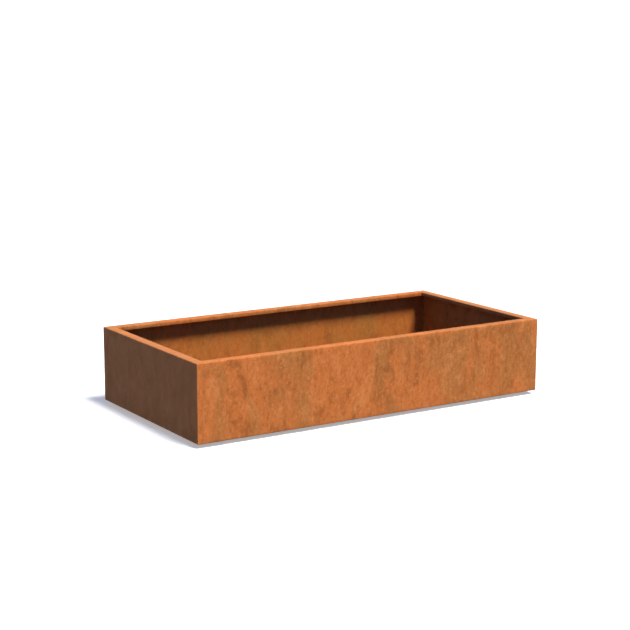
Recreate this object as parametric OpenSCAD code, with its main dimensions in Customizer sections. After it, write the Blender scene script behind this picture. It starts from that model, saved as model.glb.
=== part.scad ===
// Low rectangular planter box in folded weathering steel, with a turned-in rim,
// a drained base on cross bearers and six levelling feet.
// The origin is on the ground under the middle of the box: +X runs along its length,
// the front is at -Y and +Z is up. All sizes are in millimetres.

/* [Box] */
// Outside length of the box
box_l = 2000; // [1800:50:2600]
// Outside depth of the box
box_w = 1000; // [900:50:1400]
// Height of the four walls, without the feet
wall_h = 380; // [280:10:600]
// Thickness of the folded sheet
sheet_t = 2; // [1.5:0.5:3]
// Outer radius of every fold in the sheet
fold_r = 4; // [3.5:0.5:5]
// Cut taken off the sharp outer edge where two walls meet
corner_cut = 1; // [0.5:0.25:1.25]

/* [Rim] */
// Width of the flat rim on top of each wall
rim_w = 50; // [40:5:80]
// Height of the lip turned down from the rim's inner edge
rim_lip = 20; // [14:1:30]

/* [Base] */
// Width of the flange turned in at the foot of each wall
foot_flange = 30; // [20:1:45]
// Height of the channels that carry the base
bearer_h = 40; // [30:1:60]
// Width of the channels that carry the base
bearer_w = 60; // [50:1:80]
// Thickness of the channels
bearer_t = 3; // [2.5:0.5:4]
// Distance between one channel and the next
bearer_pitch = 400; // [350:10:420]
// Gap left between the base plate and the walls
base_gap = 1.5; // [1:0.5:3]
// Diameter of the drain holes
drain_d = 30; // [16:1:50]
// Distance of the drain holes from the long centre line
drain_y = 250; // [150:10:300]

/* [Levelling feet] */
// Ground clearance under the walls with the feet screwed right in
foot_h = 20; // [19:1:30]
// Distance of the feet from the long centre line
foot_y = 400; // [360:5:400]
// Diameter of the rubber sole
sole_d = 60; // [50:1:70]
// Diameter of the foot screw's thread
screw_d = 16; // [12:1:16]

/* [Cross tie] */
// Height of the tie's centre line above the ground
tie_z = 140; // [120:5:180]
// Height of the flat bar
tie_h = 30; // [25:1:40]
// Thickness of the flat bar
tie_t = 4; // [3:0.5:6]
// Diameter of the bolts that hold the bar
tie_bolt_d = 8; // [6:1:10]

/* [Lifting lugs] */
// Thickness of each lug
lug_t = 6; // [5:1:10]
// Width of each lug, and twice the radius of its round top
lug_w = 60; // [50:1:70]
// Diameter of the shackle hole
lug_hole_d = 26; // [20:1:30]
// Distance of the lugs from the long centre line
lug_y = 170; // [120:5:200]

/* [Hidden] */
$fn = 64;
eps = 0.01;                               // overshoot of a cutting shape
rust = "#b8703f";
rust_dark = "#8a5433";
weld = "#6f4a35";
zinc = "#a9adb0";
rubber = "#262626";

wall_z = foot_h;                          // underside of the walls
rim_z = wall_z + wall_h;                  // top of the rim
bearer_z = wall_z + sheet_t;              // the channels stand on the foot flanges
base_z = bearer_z + bearer_h;             // underside of the base plate
base_top = base_z + sheet_t;
bearer_l = box_w - 2 * fold_r - 1;        // clear of the folds at the foot of the walls
bearer_fold = 2 * bearer_t;
base_corner = 12;                         // corners cut off the base plate, clear of the welds

BEARERS = ["left_outer_bearer", "left_inner_bearer", "middle_bearer", "right_inner_bearer", "right_outer_bearer"];
FEET = [for (row = [["front", -1], ["rear", 1]], side = [["left", -2], ["middle", 0], ["right", 2]])
    [str(row[0], "_", side[0], "_foot"), side[1] * bearer_pitch, row[1] * foot_y]];

// ---- folded walls ----

// A quarter turn of sheet about the origin, in the first quadrant.
module fold(r, t) {
    intersection() {
        difference() {
            circle(r);
            circle(r - t);
        }
        square(r);
    }
}

// Section of a wall: X points into the box from the outer face, Y is up from the wall's foot.
module wall_section() {
    translate([0, fold_r]) square([sheet_t, wall_h - 2 * fold_r]);
    translate([fold_r, fold_r]) rotate(180) fold(fold_r, sheet_t);
    translate([fold_r, 0]) square([foot_flange - fold_r, sheet_t]);
    translate([fold_r, wall_h - fold_r]) rotate(90) fold(fold_r, sheet_t);
    translate([fold_r, wall_h - sheet_t]) square([rim_w - 2 * fold_r, sheet_t]);
    translate([rim_w - fold_r, wall_h - fold_r]) fold(fold_r, sheet_t);
    translate([rim_w - sheet_t, wall_h - rim_lip]) square([sheet_t, rim_lip - fold_r]);
}

// One wall of length l along X, with its outer face on Y = 0 and both ends mitred.
module wall(l) {
    intersection() {
        rotate([90, 0, 90]) linear_extrude(l, center = true) wall_section();
        linear_extrude(wall_h) polygon([
            [-l / 2 + corner_cut, 0], [l / 2 - corner_cut, 0], [l / 2 - corner_cut / 2, corner_cut / 2],
            [l / 2 - rim_w, rim_w], [-l / 2 + rim_w, rim_w], [-l / 2 + corner_cut / 2, corner_cut / 2]]);
    }
}

// Puts a long wall's shape at the front (side = -1) or the rear (side = 1).
module on_long_side(side) {
    rotate(side > 0 ? 180 : 0) translate([0, -box_w / 2, 0]) children();
}

// Puts an end wall's shape at the left (side = -1) or the right (side = 1).
module on_short_side(side) {
    rotate(90 * side) translate([0, -box_l / 2, 0]) children();
}

module long_wall(side) {
    color(rust) translate([0, 0, wall_z]) on_long_side(side) wall(box_l);
}

module end_wall(side) {
    color(rust) translate([0, 0, wall_z]) on_short_side(side) wall(box_w);
}

// ---- welds between the walls ----

corner_bead_r = 4;
mitre_bead_r = 2;
mitre_bead_from = 7;                      // distance from the outer faces, clear of the fold
mitre_bead_to = rim_w - 7;

// Places its children at the four corners, turned so that X and Y both point into the box.
module at_corners() {
    for (x = [-1, 1], y = [-1, 1])
        translate([x * box_l / 2, y * box_w / 2, 0]) mirror([x > 0 ? 1 : 0, 0, 0]) mirror([0, y > 0 ? 1 : 0, 0])
            children();
}

// A rounded bead up the inside of each corner.
module corner_welds() {
    color(weld) at_corners() translate([sheet_t, sheet_t, wall_z + fold_r])
        linear_extrude(wall_h - 2 * fold_r) intersection() {
            circle(corner_bead_r);
            square(corner_bead_r);
        }
}

// A half-round bead under each mitre of the rim.
module rim_mitre_welds() {
    color(weld) at_corners() intersection() {
        translate([mitre_bead_from, mitre_bead_from, rim_z - sheet_t]) rotate([0, 90, 45])
            cylinder(r = mitre_bead_r, h = (mitre_bead_to - mitre_bead_from) * sqrt(2));
        translate([0, 0, rim_z - sheet_t - rim_lip]) cube([rim_w, rim_w, rim_lip]);
    }
}

// ---- base ----

// A channel lying across the box with its open side up, welded to the foot flanges.
module bearer(place) {
    has_feet = place % 2 == 0;
    color(rust_dark) translate([(place - 2) * bearer_pitch, 0, bearer_z]) difference() {
        rotate([90, 0, 0]) linear_extrude(bearer_l, center = true) for (side = [0, 1]) mirror([side, 0]) {
            square([bearer_w / 2 - bearer_fold, bearer_t]);
            translate([bearer_w / 2 - bearer_fold, bearer_fold]) rotate(-90) fold(bearer_fold, bearer_t);
            translate([bearer_w / 2 - bearer_t, bearer_fold]) square([bearer_t, bearer_h - bearer_fold]);
        }
        if (has_feet) for (side = [-1, 1])
            translate([0, side * foot_y, -eps]) cylinder(d = screw_d + 1.5, h = bearer_t + 2 * eps);
    }
}

// The loose sheet floor on the channels, with its drain holes between them.
module base_plate() {
    l = box_l - 2 * (sheet_t + base_gap);
    w = box_w - 2 * (sheet_t + base_gap);
    color(rust) translate([0, 0, base_z]) difference() {
        translate([-l / 2, -w / 2, 0]) cube([l, w, sheet_t]);
        for (x = [-1, 1], y = [-1, 1]) translate([x * l / 2, y * w / 2, -eps]) rotate(45)
            translate([-base_corner / 2, -base_corner / 2, 0]) cube([base_corner, base_corner, sheet_t + 2 * eps]);
        for (x = [-1.5, -0.5, 0.5, 1.5], y = [-1, 1])
            translate([x * bearer_pitch, y * drain_y, -eps]) cylinder(d = drain_d, h = sheet_t + 2 * eps);
    }
}

// A fillet of weld along X, centred, in the corner between Y = 0 and Z = 0.
module fillet(l, leg) {
    rotate([90, 0, 90]) linear_extrude(l, center = true) polygon([[0, 0], [leg, 0], [0, leg]]);
}

stitch_l = 40;
stitch_leg = 5;

// Short stitches that tie the base plate to the walls.
module base_welds() {
    color(weld) translate([0, 0, base_top]) {
        for (side = [-1, 1], place = [-2:2])
            on_long_side(side) translate([place * bearer_pitch, sheet_t, 0]) fillet(stitch_l, stitch_leg);
        for (side = [-1, 1], place = [-1:1])
            on_short_side(side) translate([place * box_w * 0.3, sheet_t, 0]) fillet(stitch_l, stitch_leg);
    }
}

// ---- lifting lugs ----

lug_hole_z = 34;                          // height of the shackle hole above the base plate
lug_weld_leg = 5;

// Places its children at the four lugs, which stand over the outer channels.
module at_lugs() {
    for (x = [-1, 1], y = [-1, 1])
        translate([x * 2 * bearer_pitch, y * lug_y, base_top]) children();
}

module lifting_lugs() {
    color(rust_dark) at_lugs() rotate([90, 0, 0]) translate([0, 0, -lug_t / 2]) difference() {
        union() {
            translate([-lug_w / 2, 0, 0]) cube([lug_w, lug_hole_z, lug_t]);
            translate([0, lug_hole_z, 0]) cylinder(d = lug_w, h = lug_t);
        }
        translate([0, lug_hole_z, -eps]) cylinder(d = lug_hole_d, h = lug_t + 2 * eps);
    }
}

// A fillet along both sides of each lug.
module lug_welds() {
    color(weld) at_lugs() for (side = [0, 1])
        rotate(180 * side) translate([0, lug_t / 2, 0]) fillet(lug_w, lug_weld_leg);
}

// ---- cross tie ----

bracket_t = 5;
bracket_size = 40;
bracket_weld_leg = 4;
tie_bolt_y = box_w / 2 - sheet_t - bracket_size / 2;
tie_end = 12;                             // bar beyond the bolt hole
washer_t = 1.6;
tie_nut_h = 0.8 * tie_bolt_d;
tie_head_h = 0.65 * tie_bolt_d;
tie_nut_flats = 1.625 * tie_bolt_d;

// A hexagonal prism measured across its flats.
module hex(flats, h) {
    cylinder(d = flats / cos(30), h = h, $fn = 6);
}

// Places its children at both ends of the tie, with Z along the bolts.
module at_tie_bolts() {
    for (side = [-1, 1]) translate([0, side * tie_bolt_y, tie_z]) rotate([0, 90, 0]) children();
}

// Plates welded edge-on to the long walls.
module tie_brackets() {
    color(rust_dark) at_tie_bolts() difference() {
        translate([-bracket_size / 2, -bracket_size / 2, 0]) cube([bracket_size, bracket_size, bracket_t]);
        translate([0, 0, -eps]) cylinder(d = tie_bolt_d + 1, h = bracket_t + 2 * eps);
    }
}

// A fillet up the free side of each bracket.
module tie_bracket_welds() {
    color(weld) for (side = [-1, 1]) on_long_side(side)
        translate([side < 0 ? bracket_t : -bracket_t, sheet_t, tie_z]) mirror([side < 0 ? 0 : 1, 0, 0])
            linear_extrude(bracket_size, center = true)
                polygon([[0, 0], [bracket_weld_leg, 0], [0, bracket_weld_leg]]);
}

module tie_bar() {
    l = 2 * (tie_bolt_y + tie_end);
    color(rust_dark) difference() {
        translate([-tie_t, -l / 2, tie_z - tie_h / 2]) cube([tie_t, l, tie_h]);
        at_tie_bolts() translate([0, 0, -tie_t - eps]) cylinder(d = tie_bolt_d + 1, h = tie_t + 2 * eps);
    }
}

module tie_bolts() {
    shank_l = tie_t + bracket_t + 2 * washer_t + tie_nut_h + 3;
    color(zinc) at_tie_bolts() translate([0, 0, -tie_t - washer_t]) {
        cylinder(d = tie_bolt_d - 0.1, h = shank_l);
        translate([0, 0, -tie_head_h]) hex(tie_nut_flats, tie_head_h);
    }
}

module tie_washers() {
    color(zinc) at_tie_bolts() for (z = [-tie_t - washer_t, bracket_t]) translate([0, 0, z]) difference() {
        cylinder(d = 2 * tie_bolt_d, h = washer_t);
        translate([0, 0, -eps]) cylinder(d = tie_bolt_d + 0.4, h = washer_t + 2 * eps);
    }
}

module tie_nuts() {
    color(zinc) at_tie_bolts() translate([0, 0, bracket_t + washer_t]) difference() {
        hex(tie_nut_flats, tie_nut_h);
        translate([0, 0, -eps]) cylinder(d = tie_bolt_d, h = tie_nut_h + 2 * eps);
    }
}

// ---- levelling feet ----

nut_flats = 1.5 * screw_d;
nut_h = 13;
sole_h = 4;
sole_lip = 2;
pad_t = 3;
pad_d = sole_d - 4;
hub_d = 26;
collar_h = 6.8;
collar_gap = 0.2;                         // left under the channel when the foot is right in
pivot_d = 12;
running_gap = 0.05;                       // radial clearance of the thread and the pivot
hub_top = bearer_z - collar_gap - collar_h - 0.2;
screw_top = base_z - 2;

// Nuts welded inside the channels, one over each foot.
module foot_nuts() {
    color(zinc) for (foot = FEET) translate([foot[1], foot[2], bearer_z + bearer_t]) difference() {
        hex(nut_flats, nut_h);
        translate([0, 0, -eps]) cylinder(d = screw_d + 2 * running_gap, h = nut_h + 2 * eps);
    }
}

// A rubber dish that the steel pad is pressed into.
module foot_sole() {
    color(rubber) rotate_extrude() polygon([
        [0, 0], [sole_d / 2 - 1, 0], [sole_d / 2, 1], [sole_d / 2, sole_h + sole_lip],
        [pad_d / 2 + 0.1, sole_h + sole_lip], [pad_d / 2 + 0.1, sole_h], [0, sole_h]]);
}

// A steel disc with a hub, in which the screw turns.
module foot_pad() {
    color(zinc) difference() {
        union() {
            translate([0, 0, sole_h]) cylinder(d = pad_d, h = pad_t);
            translate([0, 0, sole_h + pad_t]) cylinder(d = hub_d, h = hub_top - sole_h - pad_t);
        }
        translate([0, 0, sole_h + pad_t]) cylinder(d = pivot_d + 2 * running_gap, h = hub_top);
    }
}

// The threaded screw, with a hexagon for a flat spanner and a pivot that turns in the pad.
module foot_screw() {
    color(zinc) {
        translate([0, 0, sole_h + pad_t + 0.1]) cylinder(d = pivot_d, h = hub_top - sole_h - pad_t + 0.1);
        translate([0, 0, hub_top + 0.2]) hex(nut_flats, collar_h);
        translate([0, 0, bearer_z - collar_gap]) cylinder(d = screw_d, h = screw_top - bearer_z + collar_gap);
    }
}

// Places its children at one foot.
module at_foot(foot) {
    translate([foot[1], foot[2], 0]) children();
}

long_wall(-1);  // front_wall
long_wall(1);  // rear_wall
end_wall(-1);  // left_wall
end_wall(1);  // right_wall
corner_welds();
rim_mitre_welds();
base_plate();
base_welds();
lifting_lugs();
lug_welds();
foot_nuts();
tie_brackets();
tie_bracket_welds();
tie_bar();
tie_bolts();
tie_washers();
tie_nuts();
for (place = [0:4]) bearer(place);
for (foot = FEET) at_foot(foot) foot_sole();
for (foot = FEET) at_foot(foot) foot_pad();
for (foot = FEET) at_foot(foot) foot_screw();
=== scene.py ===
"""Low rectangular planter box of folded weathering steel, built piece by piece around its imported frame."""

import math

import bmesh
import bpy
from mathutils import Matrix, Vector


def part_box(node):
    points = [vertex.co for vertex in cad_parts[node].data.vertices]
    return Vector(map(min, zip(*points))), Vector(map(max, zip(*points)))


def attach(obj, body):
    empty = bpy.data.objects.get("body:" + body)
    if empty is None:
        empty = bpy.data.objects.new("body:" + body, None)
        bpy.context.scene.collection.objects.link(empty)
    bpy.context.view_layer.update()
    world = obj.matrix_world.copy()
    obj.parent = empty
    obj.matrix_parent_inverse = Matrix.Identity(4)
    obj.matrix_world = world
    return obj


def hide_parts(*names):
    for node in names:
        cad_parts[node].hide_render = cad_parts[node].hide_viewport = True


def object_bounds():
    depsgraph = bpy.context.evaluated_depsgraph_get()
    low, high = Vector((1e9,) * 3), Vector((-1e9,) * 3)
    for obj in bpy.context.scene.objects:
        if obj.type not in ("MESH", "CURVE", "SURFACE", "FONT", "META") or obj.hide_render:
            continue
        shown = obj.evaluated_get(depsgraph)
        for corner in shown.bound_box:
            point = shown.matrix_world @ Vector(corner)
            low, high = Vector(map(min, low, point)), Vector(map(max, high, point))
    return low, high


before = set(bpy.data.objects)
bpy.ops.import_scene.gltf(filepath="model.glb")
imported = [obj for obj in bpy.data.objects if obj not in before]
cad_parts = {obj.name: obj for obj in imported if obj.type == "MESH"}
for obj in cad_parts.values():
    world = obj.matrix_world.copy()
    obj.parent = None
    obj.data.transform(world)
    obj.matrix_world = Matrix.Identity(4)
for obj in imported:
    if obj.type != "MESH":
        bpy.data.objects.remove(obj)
cad_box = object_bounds()
box_lo, box_hi = cad_box
MM = 0.001


# ---- The four walls ----
# Each wall is one strip of 2 mm weathering steel, laser cut, then folded on a press brake: a foot flange,
# the wall, the flat rim and a lip that stiffens its edge. The ends are mitred, welded and ground flush,
# and the outdoor side carries the orange patina that rain draws into streaks.
foot_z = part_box("front_wall")[0].z
rim_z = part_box("front_wall")[1].z
rim_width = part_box("front_wall")[1].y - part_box("front_wall")[0].y
sheet = 2 * MM
lip_drop = 20 * MM
foot_flange = 30 * MM
fold_radius = 4 * MM
fold_steps = 6
ground_corner = 1 * MM  # what grinding takes off the welded arris
deburr = 0.3 * MM  # what deburring takes off a cut edge
sheet_grid = 20 * MM  # spacing of the mesh that lets the sheet wave a little
sheet_wave = 0.7 * MM
wave_length = 450 * MM
held_straight = 80 * MM  # how far from its folds and welds the sheet is held


def start_piece(name, primitive, scale=(1, 1, 1), **place):
    """Adds a primitive with nothing else selected, names it and puts its place into its mesh."""
    bpy.ops.object.select_all(action="DESELECT")
    primitive(**place)
    piece = bpy.context.active_object
    piece.name = name
    piece.data.name = name
    piece.scale = scale
    bpy.ops.object.transform_apply(location=True, rotation=True, scale=True)
    return piece


def select_only(*pieces):
    """Leaves these objects selected, the first of them active."""
    bpy.ops.object.select_all(action="DESELECT")
    for piece in pieces:
        piece.select_set(True)
    bpy.context.view_layer.objects.active = pieces[0]


def pick(kind, test):
    """In edit mode, selects only the EDGE or FACE parts that pass test(middle, part)."""
    bpy.ops.mesh.select_mode(type=kind)
    bpy.ops.mesh.select_all(action="DESELECT")
    mesh = bpy.context.edit_object.data
    shape = bmesh.from_edit_mesh(mesh)
    for part in shape.edges if kind == "EDGE" else shape.faces:
        middle = sum((v.co for v in part.verts), Vector()) / len(part.verts)
        if test(middle, part):
            part.select_set(True)
    shape.select_flush_mode()
    bmesh.update_edit_mesh(mesh)


def near(a, b):
    return abs(a - b) < 0.05 * MM


def edge_runs_along(edge, axis):
    """True if the edge lies along that axis, 0, 1 or 2."""
    run = (edge.verts[1].co - edge.verts[0].co).normalized()
    return abs(run[axis]) > 0.999


def extrude(offset):
    bpy.ops.mesh.extrude_region_move(TRANSFORM_OT_translate={"value": offset})


def slice_off(point, normal):
    """Cuts the whole mesh at a plane, drops what lies on the normal's side and closes the cut."""
    bpy.ops.mesh.select_all(action="SELECT")
    bpy.ops.mesh.bisect(plane_co=point, plane_no=normal, use_fill=True, clear_outer=True)


def outward():
    bpy.ops.mesh.select_all(action="SELECT")
    bpy.ops.mesh.normals_make_consistent(inside=False)


def apply_modifier(piece, kind, **settings):
    """Adds a modifier with these settings and applies it."""
    select_only(piece)
    modifier = piece.modifiers.new(kind.lower(), kind)
    for setting, value in settings.items():
        setattr(modifier, setting, value)
    bpy.ops.object.modifier_apply(modifier=modifier.name)


def turned(piece, degrees, name=None):
    """Turns a piece about the upright axis through the middle of the box; with a name, turns a copy."""
    if name:
        piece = piece.copy()
        piece.data = piece.data.copy()
        piece.name = name
        piece.data.name = name
        bpy.context.scene.collection.objects.link(piece)
    select_only(piece)
    piece.rotation_euler = (0, 0, math.radians(degrees))
    bpy.ops.object.transform_apply(location=False, rotation=True, scale=False)
    return piece


def fit(piece, body, slot, materials, *nodes):
    """Shades a finished piece, gives it its materials and body, and hides the CAD nodes it takes the place
    of.
    """
    select_only(piece)
    bpy.ops.object.shade_smooth_by_angle(angle=math.radians(30))
    if not piece.data.materials:
        for material in materials:
            piece.data.materials.append(material)
    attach(piece, body)
    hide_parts(*nodes)


def folded_wall(name, length, out, outdoors):
    """A folded wall facing -Y with its outer face at y = -out, mitred at both ends. Its outer side has the
    finish named outdoors, and its inner side the indoor one."""
    spare = 20 * MM
    wall = start_piece(
        name, bpy.ops.mesh.primitive_plane_add, scale=(length + 2 * spare, rim_z - foot_z, 1),
        size=1, location=(0, -out, (foot_z + rim_z) / 2), rotation=(math.radians(90), 0, 0),
    )
    bpy.ops.object.mode_set(mode="EDIT")
    pick("EDGE", lambda at, edge: near(at.z, rim_z))
    extrude((0, rim_width, 0))
    extrude((0, 0, -lip_drop))
    pick("EDGE", lambda at, edge: near(at.z, foot_z))
    extrude((0, foot_flange, 0))
    pick("EDGE", lambda at, edge: edge_runs_along(edge, 0) and not edge.is_boundary)
    bpy.ops.mesh.bevel(offset=fold_radius, segments=fold_steps, profile=0.5, affect="EDGES")
    pick("EDGE", lambda at, edge: edge_runs_along(edge, 0))
    bpy.ops.mesh.subdivide(number_cuts=round(length / sheet_grid))
    pick("EDGE", lambda at, edge: edge_runs_along(edge, 2) and edge.calc_length() > lip_drop)
    bpy.ops.mesh.subdivide(number_cuts=round((rim_z - foot_z) / sheet_grid))
    bpy.ops.object.mode_set(mode="OBJECT")

    # Only the middle of the sheet waves: the folds and the welded ends hold the rest straight.
    free = wall.vertex_groups.new(name="free_sheet")
    for vertex in wall.data.vertices:
        to_end = length / 2 - abs(vertex.co.x)
        to_fold = min(vertex.co.z - foot_z, rim_z - vertex.co.z) - fold_radius
        if near(vertex.co.y, -out) and min(to_end, to_fold) > 0:
            free.add([vertex.index], min(1, min(to_end, to_fold) / held_straight), "REPLACE")
    wave = bpy.data.textures.new(name + "_wave", "CLOUDS")
    wave.noise_scale = wave_length
    wave.noise_depth = 1
    apply_modifier(
        wall, "DISPLACE", texture=wave, texture_coords="LOCAL", vertex_group="free_sheet",
        strength=sheet_wave, mid_level=1.0,
    )
    for material in (outdoors, indoor_rust):
        wall.data.materials.append(material)
    apply_modifier(
        wall, "SOLIDIFY", thickness=sheet, offset=-1, use_even_offset=True, material_offset=1,
    )
    bpy.ops.object.mode_set(mode="EDIT")
    for end in (-1, 1):
        slice_off((end * length / 2, -out, 0), (end, 1, 0))
        slice_off((end * (length / 2 - ground_corner), -out, 0), (end, -1, 0))
    pick("EDGE", lambda at, edge: edge_runs_along(edge, 0) and len(edge.link_faces) == 2
         and edge.calc_face_angle() > 1 and (at.z < rim_z - lip_drop + MM))
    bpy.ops.mesh.bevel(offset=deburr, segments=2, affect="EDGES")
    outward()
    bpy.ops.object.mode_set(mode="OBJECT")
    return wall


class Finish:
    """A procedural material. Each method adds a node and returns what it gives out."""

    def __init__(self, name, specular, metallic=0.0):
        self.material = bpy.data.materials.new(name)
        self.material.use_nodes = True
        self.nodes = self.material.node_tree.nodes
        self.links = self.material.node_tree.links
        self.shader = self.nodes["Principled BSDF"]
        self.shader.inputs["Metallic"].default_value = metallic
        self.shader.inputs["Specular IOR Level"].default_value = specular
        self.place = self.nodes.new("ShaderNodeTexCoord").outputs["Object"]

    def plug(self, socket, value):
        if isinstance(value, bpy.types.NodeSocket):
            self.links.new(value, socket)
        else:
            socket.default_value = value

    def stretch(self, x, y, z):
        """The object's own coordinates, scaled, so that a pattern on them runs longer one way."""
        node = self.nodes.new("ShaderNodeMapping")
        self.plug(node.inputs["Vector"], self.place)
        node.inputs["Scale"].default_value = (x, y, z)
        return node.outputs["Vector"]

    def noise(self, where, scale, detail, rough, warp=0.0):
        node = self.nodes.new("ShaderNodeTexNoise")
        self.plug(node.inputs["Vector"], where)
        for name, value in (("Scale", scale), ("Detail", detail), ("Roughness", rough), ("Distortion", warp)):
            node.inputs[name].default_value = value
        return node.outputs["Fac"]

    def cells(self, where, scale):
        """A random shade for each of many small cells."""
        node = self.nodes.new("ShaderNodeTexVoronoi")
        self.plug(node.inputs["Vector"], where)
        node.inputs["Scale"].default_value = scale
        return node.outputs["Color"]

    def between(self, value, low, high, to_low=0.0, to_high=1.0):
        """Maps low..high smoothly onto to_low..to_high."""
        node = self.nodes.new("ShaderNodeMapRange")
        node.interpolation_type = "SMOOTHSTEP"
        for name, given in (("Value", value), ("From Min", low), ("From Max", high),
                            ("To Min", to_low), ("To Max", to_high)):
            self.plug(node.inputs[name], given)
        return node.outputs["Result"]

    def math(self, how, a, b):
        node = self.nodes.new("ShaderNodeMath")
        node.operation = how
        self.plug(node.inputs[0], a)
        self.plug(node.inputs[1], b)
        return node.outputs[0]

    def mix(self, amount, a, b):
        """Blends colour a into colour b."""
        node = self.nodes.new("ShaderNodeMix")
        node.data_type = "RGBA"
        self.plug(node.inputs[0], amount)
        self.plug(node.inputs[6], a)
        self.plug(node.inputs[7], b)
        return node.outputs[2]

    def relief(self, height, depth, strength, below=None):
        node = self.nodes.new("ShaderNodeBump")
        node.inputs["Strength"].default_value = strength
        node.inputs["Distance"].default_value = depth
        self.plug(node.inputs["Height"], height)
        if below is not None:
            self.plug(node.inputs["Normal"], below)
        return node.outputs["Normal"]

    def done(self, colour, roughness, normal):
        self.plug(self.shader.inputs["Base Color"], colour)
        self.plug(self.shader.inputs["Roughness"], roughness)
        self.plug(self.shader.inputs["Normal"], normal)
        return self.material


def rust_patina(name, orange, tan, brown, pale, uneven=1.0, painted_shade_below=None):
    """Weathering steel: orange and tan patches, curdled crust, soft rain runs, pits and pale flecks. It is
    a little lighter towards the upright corners, and the flat rim is browned as painted shade that tones
    down the sun on it. Below a given height it is painted near black, as shade deep inside the box."""
    rust = Finish(name, specular=0.2)
    axes = rust.nodes.new("ShaderNodeSeparateXYZ")
    rust.plug(axes.inputs[0], rust.place)
    across, deep, height = axes.outputs
    upright = rust.stretch(1, 1, 0.42)
    patches = rust.noise(upright, 3.4, detail=2, rough=0.5, warp=0.8)
    drifts = rust.noise(upright, 9.5, detail=3, rough=0.55, warp=0.5)
    tone = rust.math("ADD", patches, rust.between(drifts, 0.3, 0.7, -0.09, 0.09))
    spread = 0.12 / uneven
    colour = rust.mix(rust.between(tone, 0.51 - spread, 0.51 + spread), orange, tan)
    curds = rust.noise(rust.stretch(1, 1, 0.65), 17, detail=6, rough=0.60, warp=0.7)
    colour = rust.mix(rust.between(curds, 0.50, 0.30, to_high=0.62 * uneven), colour, brown)
    colour = rust.mix(rust.between(curds, 0.52, 0.72, to_high=0.42 * uneven), colour, pale)
    mottle = rust.noise(rust.stretch(1, 1, 0.7), 62, detail=5, rough=0.62, warp=0.4)
    colour = rust.mix(rust.between(mottle, 0.49, 0.27, to_high=0.62 * uneven), colour, brown)
    colour = rust.mix(rust.between(mottle, 0.53, 0.72, to_high=0.55 * uneven), colour, pale)
    long_runs = rust.noise(rust.stretch(1, 1, 0.22), 15, detail=5, rough=0.6, warp=0.4)
    colour = rust.mix(rust.between(long_runs, 0.52, 0.70, to_high=0.32 * uneven), colour, brown)
    fine_runs = rust.noise(rust.stretch(1, 1, 0.22), 48, detail=4, rough=0.6, warp=0.6)
    colour = rust.mix(rust.between(fine_runs, 0.54, 0.74, to_high=0.25 * uneven), colour, pale)
    flecks = rust.noise(rust.place, 210, detail=3, rough=0.65, warp=0.3)
    thick = rust.between(drifts, 0.40, 0.62, 0.25 * uneven, 0.8 * uneven)
    colour = rust.mix(rust.math("MULTIPLY", rust.between(flecks, 0.57, 0.69), thick), colour, pale)
    pits = rust.between(rust.noise(rust.stretch(1, 1, 0.7), 74, detail=4, rough=0.7), 0.355, 0.30)
    colour = rust.mix(rust.math("MULTIPLY", pits, 0.45 * uneven), colour, brown)
    # a little lighter towards the upright corners
    corner_lightening = 1.0
    for axis, edge in ((across, box_length / 2), (deep, box_depth / 2)):
        reach = rust.math("ABSOLUTE", axis, 0.0)
        corner_lightening = rust.math("MULTIPLY", corner_lightening, rust.between(reach, edge - 11 * MM, edge - 3 * MM))
    colour = rust.mix(rust.math("MULTIPLY", corner_lightening, 0.15), colour, pale)
    # painted shade: the top 4 mm, the flat rim and its fold, is browned to tone down the sun falling on it
    colour = rust.mix(rust.between(height, rim_z - fold_radius, rim_z, to_high=0.3), colour, brown)
    # painted shade: below the given height the inside is turned near black, standing for the shade deep in
    # the box
    if painted_shade_below:
        level = rust.math("ADD", height, rust.between(curds, 0.3, 0.7, -25 * MM, 25 * MM))
        darkening = rust.between(level, painted_shade_below + 45 * MM, painted_shade_below - 45 * MM)
        colour = rust.mix(rust.math("MULTIPLY", darkening, 0.93), colour, (0.035, 0.024, 0.018, 1))
    film = rust.noise(rust.place, 900, detail=3, rough=0.6)
    crust = rust.relief(curds, 0.5 * MM, strength=0.5)
    crust = rust.relief(mottle, 0.35 * MM, strength=0.6, below=crust)
    crust = rust.relief(pits, -0.25 * MM, strength=0.6, below=crust)
    normal = rust.relief(film, 0.25 * MM, strength=0.5, below=crust)
    return rust.done(colour, rust.between(curds, 0.3, 0.75, 0.86, 0.66), normal)


box_length = box_hi.x - box_lo.x
box_depth = box_hi.y - box_lo.y
inner_shade_height = 105 * MM  # above the ground: inside, lower down, the walls are painted dark as shade
outdoor_rust = rust_patina(
    "outdoor_rust", orange=(0.65, 0.182, 0.042, 1), tan=(0.515, 0.176, 0.044, 1),
    brown=(0.32, 0.090, 0.020, 1), pale=(0.84, 0.32, 0.110, 1),
)
# painted shade: the two end walls get a flatter, duller copy of the patina, standing for the muted look of a
# wall turned away from the sun
shaded_end_rust = rust_patina(
    "shaded_end_outdoor_rust", orange=(0.55, 0.183, 0.054, 1), tan=(0.50, 0.179, 0.054, 1),
    brown=(0.385, 0.124, 0.037, 1), pale=(0.67, 0.258, 0.095, 1), uneven=0.5,
)
indoor_rust = rust_patina(
    "indoor_rust", orange=(0.56, 0.164, 0.031, 1), tan=(0.47, 0.171, 0.034, 1),
    brown=(0.31, 0.091, 0.017, 1), pale=(0.67, 0.26, 0.080, 1), uneven=0.8, painted_shade_below=inner_shade_height,
)

front_wall = folded_wall("front_wall_sheet", box_length, box_depth / 2, outdoor_rust)
rear_wall = turned(front_wall, 180, "rear_wall_sheet")
left_wall = turned(folded_wall("left_wall_sheet", box_depth, box_length / 2, shaded_end_rust), -90)
right_wall = turned(left_wall, 180, "right_wall_sheet")
for side, wall in (("front", front_wall), ("rear", rear_wall), ("left", left_wall), ("right", right_wall)):
    fit(wall, "box", "weathering_steel", [], side + "_wall")


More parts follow.
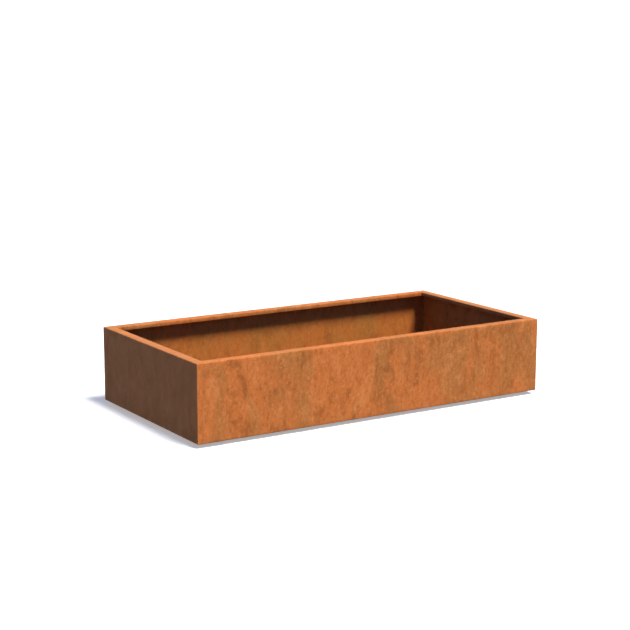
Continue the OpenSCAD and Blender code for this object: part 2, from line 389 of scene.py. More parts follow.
# ---- Corner and rim welds ----
# MIG beads that join the four folded walls: one up the inside of each corner, and one under each mitre of
# the rim. Outdoors the seams are ground flush, so only these rippled inner runs are left.
corner_leg = 4 * MM
mitre_bead = 2 * MM
ripple = 1.7 * MM  # from one ripple of a bead to the next
ripple_swell = 1.035  # how much each ripple stands over the dip before it
bead_lean = 25  # how far each ripple lags at its toes, in degrees
mitre_bead_from = 7 * MM  # from the outer faces
mitre_bead_to = rim_width - 7 * MM


def bead(length, leg, toes):
    """A rippled bead along +X from the origin, bulging up, with this angle between its toes."""
    if toes < 180:
        across, up = 1.26 * leg, 0.86 * leg
    else:
        across, up = leg, leg
    crater = 0.9 * leg  # what the rounded start and stop add
    count = round((length - 2 * crater) / ripple)
    step = (length - 2 * crater) / count
    weld = start_piece(
        "bead", bpy.ops.mesh.primitive_circle_add, scale=(up, across, 1),
        vertices=24, radius=1, location=(crater, 0, 0), rotation=(0, math.radians(90), 0),
    )
    bpy.ops.object.mode_set(mode="EDIT")
    bpy.ops.mesh.select_all(action="SELECT")
    bpy.ops.transform.rotate(
        value=math.radians(bead_lean), orient_axis="Y", center_override=(crater, 0, 0)
    )
    for share, swell in ((0.30, ripple_swell), (0.40, 1.0), (0.30, 1 / ripple_swell)):
        extrude((share * step, 0, 0))
        bpy.ops.transform.resize(value=(1, swell, swell))
    bpy.ops.object.mode_set(mode="OBJECT")
    apply_modifier(
        weld, "ARRAY", count=count, use_relative_offset=False, use_constant_offset=True,
        constant_offset_displace=(step, 0, 0), use_merge_vertices=True, merge_threshold=0.01 * MM,
    )
    bpy.ops.object.mode_set(mode="EDIT")
    for end in (-1, 1):
        pick("EDGE", lambda at, edge: edge.is_boundary and (at.x - length / 2) * end > 0)
        for reach, shrink in ((0.30, 0.80), (0.20, 0.55)):
            extrude((end * reach * leg, 0, 0))
            bpy.ops.transform.resize(value=(1, shrink, shrink))
        bpy.ops.mesh.merge(type="CENTER")
    half = math.radians(toes / 2)
    for side in (-1, 1) if toes < 180 else (1,):
        slice_off((0, 0, 0), (0, side * math.cos(half), -math.sin(half)))
    outward()
    bpy.ops.object.mode_set(mode="OBJECT")
    return weld


def laid(piece, start, along, up):
    """A copy of a piece made along +X with its top at +Z, laid from start to run along, its top facing up."""
    copy = piece.copy()
    copy.data = piece.data.copy()
    bpy.context.scene.collection.objects.link(copy)
    along = Vector(along).normalized()
    up = Vector(up).normalized()
    turn = Matrix((along, up.cross(along), up)).transposed().to_4x4()
    copy.data.transform(Matrix.Translation(start) @ turn)
    return copy


def joined(name, copies, *masters):
    """One object from several copies; the pieces that they were copied from are thrown away."""
    select_only(*copies)
    bpy.ops.object.join()
    whole = bpy.context.active_object
    whole.name = name
    whole.data.name = name
    for master in masters:
        bpy.data.objects.remove(master)
    return whole


weld_finish = Finish("weld_bead", specular=0.3, metallic=0.1)
weld_heat = weld_finish.noise(weld_finish.place, 45, detail=4, rough=0.6, warp=0.5)
weld_colour = weld_finish.mix(
    weld_finish.between(weld_heat, 0.38, 0.64), (0.22, 0.078, 0.030, 1), (0.36, 0.120, 0.034, 1)
)
weld_scale = weld_finish.noise(weld_finish.place, 420, detail=4, rough=0.7)
weld_colour = weld_finish.mix(
    weld_finish.between(weld_scale, 0.50, 0.64, to_high=0.65), weld_colour, (0.130, 0.062, 0.034, 1)
)
weld_bead = weld_finish.done(
    weld_colour, weld_finish.between(weld_scale, 0.3, 0.7, 0.55, 0.78),
    weld_finish.relief(weld_scale, 0.2 * MM, strength=0.6),
)

corners = [(x, y) for x in (-1, 1) for y in (-1, 1)]
inner_x = box_length / 2 - sheet
inner_y = box_depth / 2 - sheet
corner_bead = bead(rim_z - foot_z - 2 * fold_radius, corner_leg, 90)
corner_runs = [
    laid(corner_bead, (x * inner_x, y * inner_y, foot_z + fold_radius), (0, 0, 1), (-x, -y, 0))
    for x, y in corners
]
corner_beads = joined("corner_weld_beads", corner_runs, corner_bead)
fit(corner_beads, "box", "weld_metal", [weld_bead], "corner_welds")

rim_bead = bead((mitre_bead_to - mitre_bead_from) * math.sqrt(2), mitre_bead, 180)
rim_runs = [
    laid(
        rim_bead,
        (x * (box_length / 2 - mitre_bead_from), y * (box_depth / 2 - mitre_bead_from), rim_z - sheet),
        (-x, -y, 0), (0, 0, -1),
    )
    for x, y in corners
]
rim_beads = joined("rim_mitre_weld_beads", rim_runs, rim_bead)
fit(rim_beads, "box", "weld_metal", [weld_bead], "rim_mitre_welds")


# ---- Channels under the base ----
# Five press-broken channels of 3 mm steel lie across the box, open side up, welded to the foot flanges.
# They carry the base, and three of them are drilled for the levelling feet.
BEARERS = (
    "left_outer_bearer", "left_inner_bearer", "middle_bearer", "right_inner_bearer", "right_outer_bearer",
)
FEET = [
    (front + "_" + side + "_foot", x, y)
    for front, y in (("front", -0.4), ("rear", 0.4))
    for side, x in (("left", -0.8), ("middle", 0.0), ("right", 0.8))
]
channel_sheet = 3 * MM
channel_fold = 6 * MM
foot_hole = 8.75 * MM  # radius
bit_length = 100 * MM


def drill(piece, holes, radius, axis="Z", sides=48):
    """Drills round holes of this radius right through a piece, along X, Y or Z."""
    turn = {"X": (0, math.radians(90), 0), "Y": (math.radians(90), 0, 0), "Z": (0, 0, 0)}[axis]
    bits = [
        start_piece(
            "bit", bpy.ops.mesh.primitive_cylinder_add, vertices=sides, radius=radius, depth=bit_length,
            location=hole, rotation=turn,
        )
        for hole in holes
    ]
    cutter = joined("bit", bits)
    apply_modifier(piece, "BOOLEAN", object=cutter, operation="DIFFERENCE", solver="EXACT")
    bpy.data.objects.remove(cutter)


def break_edges(piece, width, where=lambda at, edge: True, segments=2):
    """Rounds the sharp edges of a piece that pass the test, as deburring does."""
    select_only(piece)
    bpy.ops.object.mode_set(mode="EDIT")
    pick("EDGE", lambda at, edge: len(edge.link_faces) == 2
         and edge.calc_face_angle() > math.radians(40) and where(at, edge))
    bpy.ops.mesh.bevel(offset=width, segments=segments, affect="EDGES", clamp_overlap=True)
    outward()
    bpy.ops.object.mode_set(mode="OBJECT")


def dark_steel(name, bare, rust, bloom):
    """Steel that stays in the shade of the box: brown mill scale, with cloudy rust and fine specks."""
    steel = Finish(name, specular=0.35, metallic=0.15)
    clouds = steel.noise(steel.place, 14, detail=6, rough=0.62, warp=0.8)
    colour = steel.mix(steel.between(clouds, 0.40, 0.66), bare, rust)
    film = steel.noise(steel.stretch(1, 1, 0.5), 55, detail=4, rough=0.65)
    colour = steel.mix(steel.between(film, 0.55, 0.80, to_high=0.6), colour, bloom)
    specks = steel.between(steel.noise(steel.place, 260, detail=3, rough=0.65), 0.60, 0.68)
    colour = steel.mix(steel.math("MULTIPLY", specks, 0.6), colour, bloom)
    grain = steel.noise(steel.place, 700, detail=3, rough=0.6)
    normal = steel.relief(film, 0.3 * MM, strength=0.4)
    normal = steel.relief(grain, 0.2 * MM, strength=0.45, below=normal)
    return steel.done(colour, steel.between(film, 0.3, 0.7, 0.62, 0.86), normal)


channel_steel = dark_steel(
    "channel_steel", bare=(0.115, 0.062, 0.040, 1), rust=(0.255, 0.098, 0.036, 1), bloom=(0.40, 0.16, 0.05, 1)
)
for place in BEARERS:
    low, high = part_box(place)
    centre = (low + high) / 2
    channel = start_piece(
        place + "_channel", bpy.ops.mesh.primitive_plane_add, scale=(high.x - low.x, high.y - low.y, 1),
        size=1, location=(centre.x, centre.y, low.z),
    )
    bpy.ops.object.mode_set(mode="EDIT")
    for side in (low.x, high.x):
        pick("EDGE", lambda at, edge: near(at.x, side))
        extrude((0, 0, high.z - low.z))
    pick("EDGE", lambda at, edge: edge_runs_along(edge, 1) and not edge.is_boundary)
    bpy.ops.mesh.bevel(offset=channel_fold, segments=6, profile=0.5, affect="EDGES")
    outward()
    bpy.ops.object.mode_set(mode="OBJECT")
    outside_up = channel.data.polygons[0].normal.z > 0
    apply_modifier(
        channel, "SOLIDIFY", thickness=channel_sheet, offset=1 if outside_up else -1, use_even_offset=True,
    )
    if place in (BEARERS[0], BEARERS[2], BEARERS[4]):
        drill(channel, [(x, y, low.z) for name, x, y in FEET if near(x, centre.x)], foot_hole)
    break_edges(channel, deburr)
    fit(channel, "box", "dark_weathering_steel", [channel_steel], place)


# ---- Base plate ----
# A sheet floor of 2 mm weathering steel on the channels, with its corners cut off and eight drain
# holes. Its rust is painted near black as shade, which keeps the inside of the box dark, and water leaves
# tide marks round each drain.
base_low, base_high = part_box("base_plate")
base_corner_cut = 6 * MM * math.sqrt(2)  # along each side
drain_x = (-0.6, -0.2, 0.2, 0.6)
drain_y = (-0.25, 0.25)
drain_radius = 15 * MM

base = start_piece(
    "base_plate_sheet", bpy.ops.mesh.primitive_plane_add,
    scale=(base_high.x - base_low.x, base_high.y - base_low.y, 1), size=1, location=(0, 0, base_high.z),
)
bpy.ops.object.mode_set(mode="EDIT")
bpy.ops.mesh.select_all(action="SELECT")
bpy.ops.mesh.bevel(offset=base_corner_cut, segments=1, affect="VERTICES")
bpy.ops.object.mode_set(mode="OBJECT")
apply_modifier(base, "SOLIDIFY", thickness=base_high.z - base_low.z, offset=-1)
drill(base, [(x, y, base_low.z) for x in drain_x for y in drain_y], drain_radius)
break_edges(base, 0.4 * MM)

floor_rust = Finish("base_plate_rust", specular=0.3, metallic=0.1)
axes = floor_rust.nodes.new("ShaderNodeSeparateXYZ")
floor_rust.plug(axes.inputs[0], floor_rust.place)
to_drain = []
for axis, pitch in ((0, drain_x[1] - drain_x[0]), (1, drain_y[1] - drain_y[0])):
    swing = floor_rust.math("PINGPONG", axes.outputs[axis], pitch / 2)
    to_drain.append(floor_rust.math("SUBTRACT", pitch / 2, swing))
squares = [floor_rust.math("MULTIPLY", leg, leg) for leg in to_drain]
drain_distance = floor_rust.math("SQRT", floor_rust.math("ADD", *squares), 0.0)
ragged = floor_rust.noise(floor_rust.place, 4, detail=5, rough=0.5)
drain_distance = floor_rust.math(
    "ADD", drain_distance, floor_rust.between(ragged, 0.3, 0.7, -42 * MM, 42 * MM)
)
floor_clouds = floor_rust.noise(floor_rust.place, 11, detail=7, rough=0.62, warp=0.3)
# painted shade: the plate's rust is kept near black so that the inside of the box stays dark
floor_colour = floor_rust.mix(
    floor_rust.between(floor_clouds, 0.36, 0.66), (0.055, 0.034, 0.024, 1), (0.110, 0.052, 0.027, 1)
)
for reach, strength in ((60 * MM, 0.32), (125 * MM, 0.16), (170 * MM, 0.1)):
    rising = floor_rust.between(drain_distance, reach - 30 * MM, reach)
    falling = floor_rust.between(drain_distance, reach + 6 * MM, reach)
    ring = floor_rust.math("MULTIPLY", floor_rust.math("MULTIPLY", rising, falling), strength)
    floor_colour = floor_rust.mix(ring, floor_colour, (0.21, 0.095, 0.040, 1))
# water keeps the plate darker and glossier close to each drain
darkening = floor_rust.between(drain_distance, 60 * MM, 15 * MM, to_high=0.6)
floor_colour = floor_rust.mix(darkening, floor_colour, (0.036, 0.023, 0.017, 1))
floor_film = floor_rust.noise(floor_rust.place, 85, detail=5, rough=0.7)
floor_colour = floor_rust.mix(
    floor_rust.between(floor_film, 0.52, 0.74, to_high=0.7), floor_colour, (0.18, 0.070, 0.026, 1)
)
floor_crust = floor_rust.relief(floor_film, 0.5 * MM, strength=0.5)
base_rust = floor_rust.done(floor_colour, floor_rust.between(darkening, 0.0, 0.6, 0.85, 0.60), floor_crust)
fit(base, "box", "weathering_steel", [base_rust], "base_plate")


# ---- Stitch welds of the base ----
# Short fillets laid from inside that tie the base plate to the walls: five along each long side and three
# along each end, with a rounded start and stop.
stitch_length = 40 * MM
stitch_leg = 5 * MM
stitch_x = (-0.8, -0.4, 0, 0.4, 0.8)
stitch_y = (-0.3, 0, 0.3)
stitch = bead(stitch_length, stitch_leg, 90)
stitches = []
for side in (-1, 1):
    for x in stitch_x:
        start = (x - stitch_length / 2, side * inner_y, base_high.z)
        stitches.append(laid(stitch, start, (1, 0, 0), (0, -side, 1)))
    for y in stitch_y:
        start = (side * inner_x, y - stitch_length / 2, base_high.z)
        stitches.append(laid(stitch, start, (0, 1, 0), (-side, 0, 1)))
fit(joined("base_stitch_beads", stitches, stitch), "box", "weld_metal", [weld_bead], "base_welds")


# ---- Lifting lugs ----
# Four 6 mm plates with a round top and an eye for a shackle, flame cut, deburred and welded on both sides
# over the outer channels, so that a crane lifts the channels and not the sheet.
LUGS = [(x, y) for x in (-0.8, 0.8) for y in (-0.17, 0.17)]
lug_width = 60 * MM
lug_thickness = 6 * MM
lug_hole = 13 * MM  # radius
lug_hole_z = 98 * MM
lug_weld_leg = 5 * MM

lug_steel = dark_steel(
    "lug_steel", bare=(0.100, 0.062, 0.046, 1), rust=(0.27, 0.105, 0.040, 1), bloom=(0.42, 0.17, 0.055, 1)
)
lug = start_piece(
    "lug", bpy.ops.mesh.primitive_cylinder_add, vertices=64, radius=lug_width / 2, depth=lug_thickness,
    location=(0, 0, lug_hole_z), rotation=(math.radians(90), 0, 0),
)
bpy.ops.object.mode_set(mode="EDIT")
slice_off((0, 0, lug_hole_z), (0, 0, -1))
pick("FACE", lambda at, face: near(at.z, lug_hole_z))
extrude((0, 0, base_high.z - lug_hole_z))
outward()
bpy.ops.object.mode_set(mode="OBJECT")
drill(lug, [(0, 0, lug_hole_z)], lug_hole, "Y", sides=64)
break_edges(lug, 0.8 * MM, where=lambda at, edge: at.z > base_high.z + MM, segments=3)
lug_copies = [laid(lug, (x, y, 0), (1, 0, 0), (0, 0, 1)) for x, y in LUGS]
lug_plates = joined("lifting_lug_plates", lug_copies, lug)
fit(lug_plates, "box", "dark_weathering_steel", [lug_steel], "lifting_lugs")

lug_bead = bead(lug_width, lug_weld_leg, 90)
lug_runs = [
    laid(lug_bead, (x - lug_width / 2, y + side * lug_thickness / 2, base_high.z), (1, 0, 0), (0, side, 1))
    for x, y in LUGS for side in (-1, 1)
]
fit(joined("lug_weld_beads", lug_runs, lug_bead), "box", "weld_metal", [weld_bead], "lug_welds")


# ---- Cross tie ----
# A flat bar bolted between plates on the two long walls, which stops the walls from bulging when the box
# is full of soil. The plates are 5 mm steel with a fillet up one side; the bar keeps its rolled edges.
tie_z = 140 * MM
bracket_low, bracket_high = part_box("tie_brackets")
bracket_size = bracket_high.z - bracket_low.z
tie_low, tie_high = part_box("tie_bar")
tie_bolt_y = 478 * MM
tie_hole = 4.5 * MM  # radius
bracket_weld_leg = 4 * MM

brackets = []
for side in (-1, 1):
    bracket = start_piece(
        "bracket", bpy.ops.mesh.primitive_cube_add, size=1,
        scale=(bracket_high.x, bracket_size, bracket_size),
        location=(bracket_high.x / 2, side * tie_bolt_y, tie_z),
    )
    bpy.ops.object.mode_set(mode="EDIT")
    free_edge = tie_bolt_y - bracket_size / 2
    pick("EDGE", lambda at, edge: edge_runs_along(edge, 0) and near(abs(at.y), free_edge))
    bpy.ops.mesh.bevel(offset=3 * MM, segments=5, affect="EDGES")
    bpy.ops.object.mode_set(mode="OBJECT")
    drill(bracket, [(0, side * tie_bolt_y, tie_z)], tie_hole, "X")
    break_edges(bracket, 0.5 * MM, where=lambda at, edge: abs(at.y) < inner_y - MM)
    brackets.append(bracket)
fit(joined("tie_bracket_plates", brackets), "box", "dark_weathering_steel", [lug_steel], "tie_brackets")

tie_bead = bead(bracket_size, bracket_weld_leg, 90)
tie_runs = [
    laid(tie_bead, (bracket_high.x, side * inner_y, tie_z - bracket_size / 2), (0, 0, 1), (1, -side, 0))
    for side in (-1, 1)
]
fit(joined("tie_bracket_beads", tie_runs, tie_bead), "box", "weld_metal", [weld_bead], "tie_bracket_welds")

bar = start_piece(
    "tie_flat_bar", bpy.ops.mesh.primitive_cube_add, size=1,
    scale=tie_high - tie_low, location=(tie_low + tie_high) / 2,
)
drill(bar, [(0, side * tie_bolt_y, tie_z) for side in (-1, 1)], tie_hole, "X")
break_edges(bar, 0.9 * MM, where=lambda at, edge: edge_runs_along(edge, 1), segments=3)
break_edges(bar, deburr)
fit(bar, "box", "dark_weathering_steel", [channel_steel], "tie_bar")


# ---- Fixings of the tie ----
# Zinc plated M8 hexagon bolts and nuts with a washer under each, threaded right-handed at 1.25 mm. The
# heads and nuts are chamfered, and the zinc has dulled, with white bloom and a little rust.
bolt_radius = 3.95 * MM
bolt_pitch = 1.25 * MM
bolt_flats = 13 * MM
head_height = 5.2 * MM
nut_height = 6.4 * MM
washer_radius = 8 * MM
washer_thickness = 1.6 * MM
washer_bore = 4.2 * MM
head_x = tie_low.x - washer_thickness  # underside of the head
shank_length = 21.6 * MM
far_washer_x = bracket_high.x
tie_nut_x = far_washer_x + washer_thickness


def weld_doubles():
    bpy.ops.mesh.select_all(action="SELECT")
    bpy.ops.mesh.remove_doubles(threshold=0.005 * MM)
    bpy.ops.mesh.dissolve_degenerate(threshold=0.001 * MM)


def lathe(name, profile, steps=48):
    """Turns a closed outline, given as radius and height pairs, round the upright axis."""
    turned_piece = start_piece(name, bpy.ops.mesh.primitive_circle_add, vertices=len(profile), radius=1)
    for vertex, (radius, height) in zip(turned_piece.data.vertices, profile):
        vertex.co = (radius, 0, height)
    bpy.ops.object.mode_set(mode="EDIT")
    bpy.ops.mesh.select_all(action="SELECT")
    bpy.ops.mesh.spin(steps=steps, angle=math.radians(360), center=(0, 0, 0), axis=(0, 0, 1))
    weld_doubles()
    pick("EDGE", lambda at, edge: edge.is_wire)
    bpy.ops.mesh.delete(type="EDGE")
    outward()
    bpy.ops.object.mode_set(mode="OBJECT")
    return turned_piece


def combine(piece, other, how):
    """Joins, cuts or intersects a piece with another, which is used up."""
    apply_modifier(piece, "BOOLEAN", object=other, operation=how, solver="EXACT")
    bpy.data.objects.remove(other)
    bpy.ops.object.mode_set(mode="EDIT")
    weld_doubles()
    bpy.ops.object.mode_set(mode="OBJECT")
    return piece


def hexagon(name, flats, low, high, chamfered=("low", "high")):
    """A hexagonal prism across the flats, its corners turned off at 30 degrees on the named ends."""
    corner = flats / math.sqrt(3)
    prism = start_piece(
        name, bpy.ops.mesh.primitive_cylinder_add, vertices=6, radius=corner,
        depth=high - low, location=(0, 0, (low + high) / 2), rotation=(0, 0, math.radians(30)),
    )
    clear = corner * 1.05
    face = 0.475 * flats  # radius of the flat that the turning leaves
    drop = (clear - face) * math.tan(math.radians(30))
    profile = [(0, low - MM), (clear, low - MM), (clear, high + MM), (0, high + MM)]
    if "low" in chamfered:
        profile[0:2] = [(0, low), (face, low), (clear, low + drop)]
    if "high" in chamfered:
        profile[-2:] = [(clear, high - drop), (face, high), (0, high)]
    return combine(prism, lathe("turning", profile, steps=72), "INTERSECT")


def thread(name, radius, pitch, low, high):
    """A right-handed threaded rod with a chamfered top; its crests are one eighth of the pitch wide."""
    thread_depth = 0.61 * pitch
    root = radius - thread_depth
    turn = start_piece(name, bpy.ops.mesh.primitive_circle_add, vertices=5, radius=1)
    bpy.ops.object.mode_set(mode="EDIT")
    pick("EDGE", lambda at, edge: {v.index for v in edge.verts} == {4, 0})
    bpy.ops.mesh.delete(type="EDGE")
    bpy.ops.object.mode_set(mode="OBJECT")
    outline = ((root, 0), (root, 0.25), (radius, 0.5625), (radius, 0.6875), (root, 1))
    start = low - 2 * pitch
    for vertex, (out, share) in zip(turn.data.vertices, outline):
        vertex.co = (out, 0, start + share * pitch)
    turns = math.ceil((high - low) / pitch) + 4
    apply_modifier(
        turn, "SCREW", axis="Z", angle=math.radians(360), screw_offset=pitch, iterations=turns,
        steps=24, render_steps=24, use_smooth_shade=False,
    )
    bpy.ops.object.mode_set(mode="EDIT")
    weld_doubles()
    slice_off((0, 0, low), (0, 0, -1))
    slice_off((0, 0, high + 0.4 * pitch), (0, 0, 1))
    outward()
    bpy.ops.object.mode_set(mode="OBJECT")
    clear = 1.2 * radius
    chamfer = 1.2 * thread_depth + 0.16 * radius
    blank = lathe("turning", [
        (0, low - MM), (clear, low - MM), (clear, high - chamfer), (root * 0.98, high), (0, high),
    ])
    return combine(turn, blank, "INTERSECT")


def along_x(piece, start):
    """Lays a piece that was turned upright along +X from this point."""
    piece.data.transform(Matrix.Translation(start) @ Matrix.Rotation(math.radians(90), 4, "Y"))
    return piece


def zinc(name, bright, dull, rusting):
    """Zinc plating: crystals of two greys, white bloom in patches and a little rust coming through."""
    plating = Finish(name, specular=0.5, metallic=0.85)
    crystals = plating.cells(plating.place, 330)
    colour = plating.mix(plating.between(crystals, 0.2, 0.8), bright, dull)
    bloom = plating.noise(plating.place, 120, detail=5, rough=0.65)
    colour = plating.mix(plating.between(bloom, 0.52, 0.74, to_high=0.7), colour, (0.70, 0.71, 0.70, 1))
    stain = plating.noise(plating.place, 48, detail=6, rough=0.7, warp=0.6)
    colour = plating.mix(
        plating.between(stain, 0.66 - rusting, 0.84 - rusting, to_high=0.8), colour, (0.28, 0.115, 0.045, 1)
    )
    normal = plating.relief(bloom, 0.12 * MM, strength=0.5)
    return plating.done(colour, plating.between(bloom, 0.35, 0.72, 0.32, 0.66), normal)


bolt_zinc = zinc("bolt_zinc", bright=(0.58, 0.59, 0.60, 1), dull=(0.42, 0.43, 0.44, 1), rusting=0.12)
bolts, washers, nuts = [], [], []
for side in (-1, 1):
    axis_at = (0, side * tie_bolt_y, tie_z)
    bolt = thread("bolt", bolt_radius, bolt_pitch, -MM, shank_length)
    bolt = combine(bolt, hexagon("head", bolt_flats, -head_height, 0, chamfered=("low",)), "UNION")
    bolts.append(along_x(bolt, (head_x, axis_at[1], axis_at[2])))
    for washer_x in (head_x, far_washer_x):
        ring = lathe("washer", [
            (washer_bore, 0), (washer_radius - 0.2 * MM, 0), (washer_radius, 0.3 * MM),
            (washer_radius, washer_thickness - 0.3 * MM), (washer_radius - 0.3 * MM, washer_thickness),
            (washer_bore + 0.15 * MM, washer_thickness), (washer_bore, washer_thickness - 0.15 * MM),
        ])
        washers.append(along_x(ring, (washer_x, axis_at[1], axis_at[2])))
    nut = hexagon("nut", bolt_flats, 0, nut_height)
    bore = lathe("bore", [
        (0, -MM), (5.4 * MM, -MM), (4.02 * MM, 0.6 * MM), (4.02 * MM, nut_height - 0.6 * MM),
        (5.4 * MM, nut_height + MM), (0, nut_height + MM),
    ])
    nuts.append(along_x(combine(nut, bore, "DIFFERENCE"), (tie_nut_x, axis_at[1], axis_at[2])))
for name, copies, node in (
    ("tie_hexagon_bolts", bolts, "tie_bolts"), ("tie_washer_rings", washers, "tie_washers"),
    ("tie_hexagon_nuts", nuts, "tie_nuts"),
):
    fit(joined(name, copies), "box", "zinc_plated_steel", [bolt_zinc], node)


# ---- Levelling feet ----
# Six feet level the box. A zinc plated M16 screw of 2 mm pitch turns in a nut welded into the channel, and
# its pivot turns in the hub of a steel pad, which is pressed into a moulded rubber sole.
nut_low, nut_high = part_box("foot_nuts")
foot_flats = 24 * MM
foot_nut_bore = 8.05 * MM
screw_radius = 8 * MM
screw_pitch = 2 * MM
pivot_radius = 6 * MM
sole_radius = 30 * MM
pad_radius = 28 * MM
hub_radius = 13 * MM
hub_bore = 6.05 * MM

foot_zinc = zinc("foot_zinc", bright=(0.60, 0.61, 0.62, 1), dull=(0.44, 0.45, 0.46, 1), rusting=0.06)
rubber = Finish("sole_rubber", specular=0.3)
rubber_dust = rubber.noise(rubber.place, 70, detail=5, rough=0.7)
rubber_colour = rubber.mix(
    rubber.between(rubber_dust, 0.48, 0.76, to_high=0.7), (0.022, 0.022, 0.023, 1), (0.13, 0.10, 0.075, 1)
)
rubber_skin = rubber.noise(rubber.place, 1300, detail=2, rough=0.5)
sole_rubber = rubber.done(
    rubber_colour, rubber.between(rubber_dust, 0.3, 0.7, 0.62, 0.85),
    rubber.relief(rubber_skin, 0.08 * MM, strength=0.5),
)

foot_nut = hexagon("foot_nut", foot_flats, nut_low.z, nut_high.z)
nut_bore = lathe("bore", [
    (0, nut_low.z - MM), (10.6 * MM, nut_low.z - MM), (foot_nut_bore, nut_low.z + 1.2 * MM),
    (foot_nut_bore, nut_high.z - 1.2 * MM), (10.6 * MM, nut_high.z + MM), (0, nut_high.z + MM),
])
foot_nut = combine(foot_nut, nut_bore, "DIFFERENCE")
foot_nut_copies = [laid(foot_nut, (x, y, 0), (1, 0, 0), (0, 0, 1)) for name, x, y in FEET]
foot_nut_hexagons = joined("foot_nut_hexagons", foot_nut_copies, foot_nut)
fit(foot_nut_hexagons, "box", "zinc_plated_steel", [foot_zinc], "foot_nuts")

groove = 0.9 * MM
sole_outline = [(0, 0)]
for middle in (9 * MM, 15 * MM, 21 * MM):
    sole_outline += [(middle - 1.6 * MM, 0), (middle - 1.1 * MM, groove), (middle + 1.1 * MM, groove),
                     (middle + 1.6 * MM, 0)]
sole_outline += [
    (sole_radius - MM, 0), (sole_radius - 0.3 * MM, 0.3 * MM), (sole_radius, MM), (sole_radius, 2.2 * MM),
    (sole_radius - 0.5 * MM, 2.6 * MM), (sole_radius - 0.5 * MM, 3.2 * MM), (sole_radius, 3.6 * MM),
    (sole_radius, 5.4 * MM), (sole_radius - 0.6 * MM, 6 * MM), (28.5 * MM, 6 * MM), (28.1 * MM, 5.6 * MM),
    (28.1 * MM, 4 * MM), (0, 4 * MM),
]
sole = lathe("rubber_dish", sole_outline, steps=72)

pad_low, pad_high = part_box(FEET[0][0] + "_pad")
pad = lathe("steel_disc", [
    (0, pad_low.z), (pad_radius - 0.4 * MM, pad_low.z), (pad_radius, pad_low.z + 0.4 * MM),
    (pad_radius, 6.2 * MM), (pad_radius - 0.8 * MM, 7 * MM), (22 * MM, 7 * MM), (21 * MM, 6.5 * MM),
    (18.5 * MM, 6.5 * MM), (17.5 * MM, 7 * MM), (hub_radius + 1.2 * MM, 7 * MM),
    (hub_radius + 0.3 * MM, 7.4 * MM), (hub_radius, 8.2 * MM),
    (hub_radius, pad_high.z - 0.7 * MM), (hub_radius - 0.7 * MM, pad_high.z),
    (hub_bore + 0.5 * MM, pad_high.z), (hub_bore, pad_high.z - 0.5 * MM), (hub_bore, 7 * MM), (0, 7 * MM),
], steps=72)

screw_low, screw_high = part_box(FEET[0][0] + "_screw")
collar_low = 15 * MM
collar_high = 21.8 * MM
stem = thread("levelling_screw", screw_radius, screw_pitch, collar_high - MM, screw_high.z)
collar = hexagon("collar", foot_flats, collar_low, collar_high)
pivot = lathe("pivot", [
    (0, screw_low.z), (pivot_radius - 0.5 * MM, screw_low.z), (pivot_radius, screw_low.z + 0.5 * MM),
    (pivot_radius, collar_low - 0.6 * MM), (pivot_radius - 0.4 * MM, collar_low - 0.4 * MM),
    (pivot_radius - 0.4 * MM, collar_low + MM), (0, collar_low + MM),
])
screw = combine(combine(stem, collar, "UNION"), pivot, "UNION")

for name, x, y in FEET:
    for master, body, node, slot, material in (
        (sole, name, "_sole", "black_rubber", sole_rubber),
        (pad, name, "_pad", "zinc_plated_steel", foot_zinc),
        (screw, name[:-5] + "_screw", "_screw", "zinc_plated_steel", foot_zinc),
    ):
        piece = laid(master, (x, y, 0), (1, 0, 0), (0, 0, 1))
        piece.name = name + "_" + master.name
        piece.data.name = piece.name
        fit(piece, body, slot, [material], name + node)
for master in (sole, pad, screw):
    bpy.data.objects.remove(master)


# ---- Studio ----
# A white floor and backdrop, soft daylight from the front and a little to the right, and a long lens two
# metres up, off the left end of the box.
sun_elevation = 64
sun_right_of_front = 17
sun_strength = 5.13
sun_colour = (1.0, 0.955, 0.786)
sun_spread = 15.5  # degrees, which gives the shadows their soft edge
floor_size = 60
floor_tint = (1.0, 0.97, 0.95, 1)
floor_glow = 0.385
floor_matt = (0.76, 0.80, 0.97, 1)
backdrop_radius = 40
backdrop_glow = 1.1
horizon_blend = 0.10
sky_light = (0.02, 0.08, 0.18, 1)
floor_light = (0.24, 0.26, 0.30, 1)  # what a sunlit white floor throws back up at the walls


def glow(name, colour, strength, diffuse=None):
    """A backdrop finish that gives out its own light, with a matt white under it where shadows fall."""
    material = bpy.data.materials.new(name)
    material.use_nodes = True
    shader = material.node_tree.nodes["Principled BSDF"]
    shader.inputs["Base Color"].default_value = diffuse or (0, 0, 0, 1)
    shader.inputs["Roughness"].default_value = 1
    shader.inputs["Specular IOR Level"].default_value = 0
    shader.inputs["Emission Color"].default_value = colour
    shader.inputs["Emission Strength"].default_value = strength
    return material


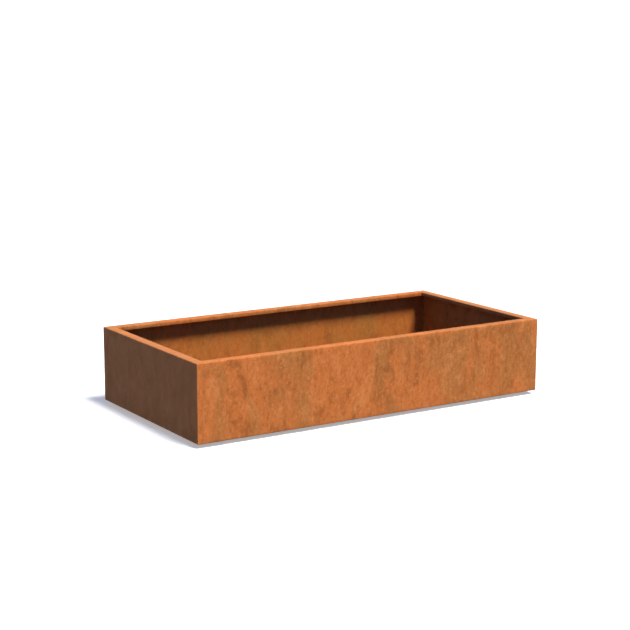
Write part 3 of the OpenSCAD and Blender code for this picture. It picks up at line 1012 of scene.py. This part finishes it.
floor = start_piece(
    "studio_floor", bpy.ops.mesh.primitive_plane_add, size=floor_size, location=(0, 0, box_lo.z)
)
floor.data.materials.append(glow("studio_floor", floor_tint, floor_glow, diffuse=floor_matt))
backdrop = start_piece("studio_backdrop", bpy.ops.mesh.primitive_uv_sphere_add, radius=backdrop_radius)
backdrop.data.materials.append(glow("studio_backdrop", (1, 1, 1, 1), backdrop_glow))
for stand in (floor, backdrop):
    stand.visible_diffuse = False
backdrop.visible_shadow = False

world = bpy.data.worlds.new("studio_air")
world.use_nodes = True
air = world.node_tree.nodes
heading = air.new("ShaderNodeSeparateXYZ")
world.node_tree.links.new(air.new("ShaderNodeTexCoord").outputs["Generated"], heading.inputs[0])
from_below = air.new("ShaderNodeMapRange")
from_below.inputs["From Min"].default_value = horizon_blend
from_below.inputs["From Max"].default_value = -horizon_blend
air_colour = air.new("ShaderNodeMix")
air_colour.data_type = "RGBA"
air_colour.inputs[6].default_value = sky_light
air_colour.inputs[7].default_value = floor_light
world.node_tree.links.new(heading.outputs[2], from_below.inputs["Value"])
world.node_tree.links.new(from_below.outputs["Result"], air_colour.inputs[0])
world.node_tree.links.new(air_colour.outputs[2], air["Background"].inputs["Color"])
air["Background"].inputs["Strength"].default_value = 1
bpy.context.scene.world = world

bpy.ops.object.light_add(type="SUN", location=(0, -3, 5))
sun = bpy.context.active_object
sun.name = "studio_sun"
sun.data.energy = sun_strength
sun.data.color = sun_colour
sun.data.angle = math.radians(sun_spread)
sun.rotation_euler = (math.radians(90 - sun_elevation), 0, math.radians(sun_right_of_front))

middle = (box_lo + box_hi) / 2
camera_offset = Vector((-4.226, -6.583, 1.765))
camera_heading = 32.38  # degrees from +Y towards +X
camera_tilt = 11.03
camera_roll = 0.11
camera_lens = 89.03  # mm, on a sensor 36 mm wide
bpy.ops.object.camera_add(location=middle + camera_offset)
camera = bpy.context.active_object
camera.name = "studio_camera"
camera.data.sensor_width = 36
camera.data.lens = camera_lens
camera.rotation_euler = (
    Matrix.Rotation(math.radians(-camera_heading), 3, "Z")
    @ Matrix.Rotation(math.radians(90 - camera_tilt), 3, "X")
    @ Matrix.Rotation(math.radians(camera_roll), 3, "Z")
).to_euler()
camera.data.clip_end = 100
bpy.context.scene.camera = camera
bpy.context.scene.view_settings.view_transform = "Standard"
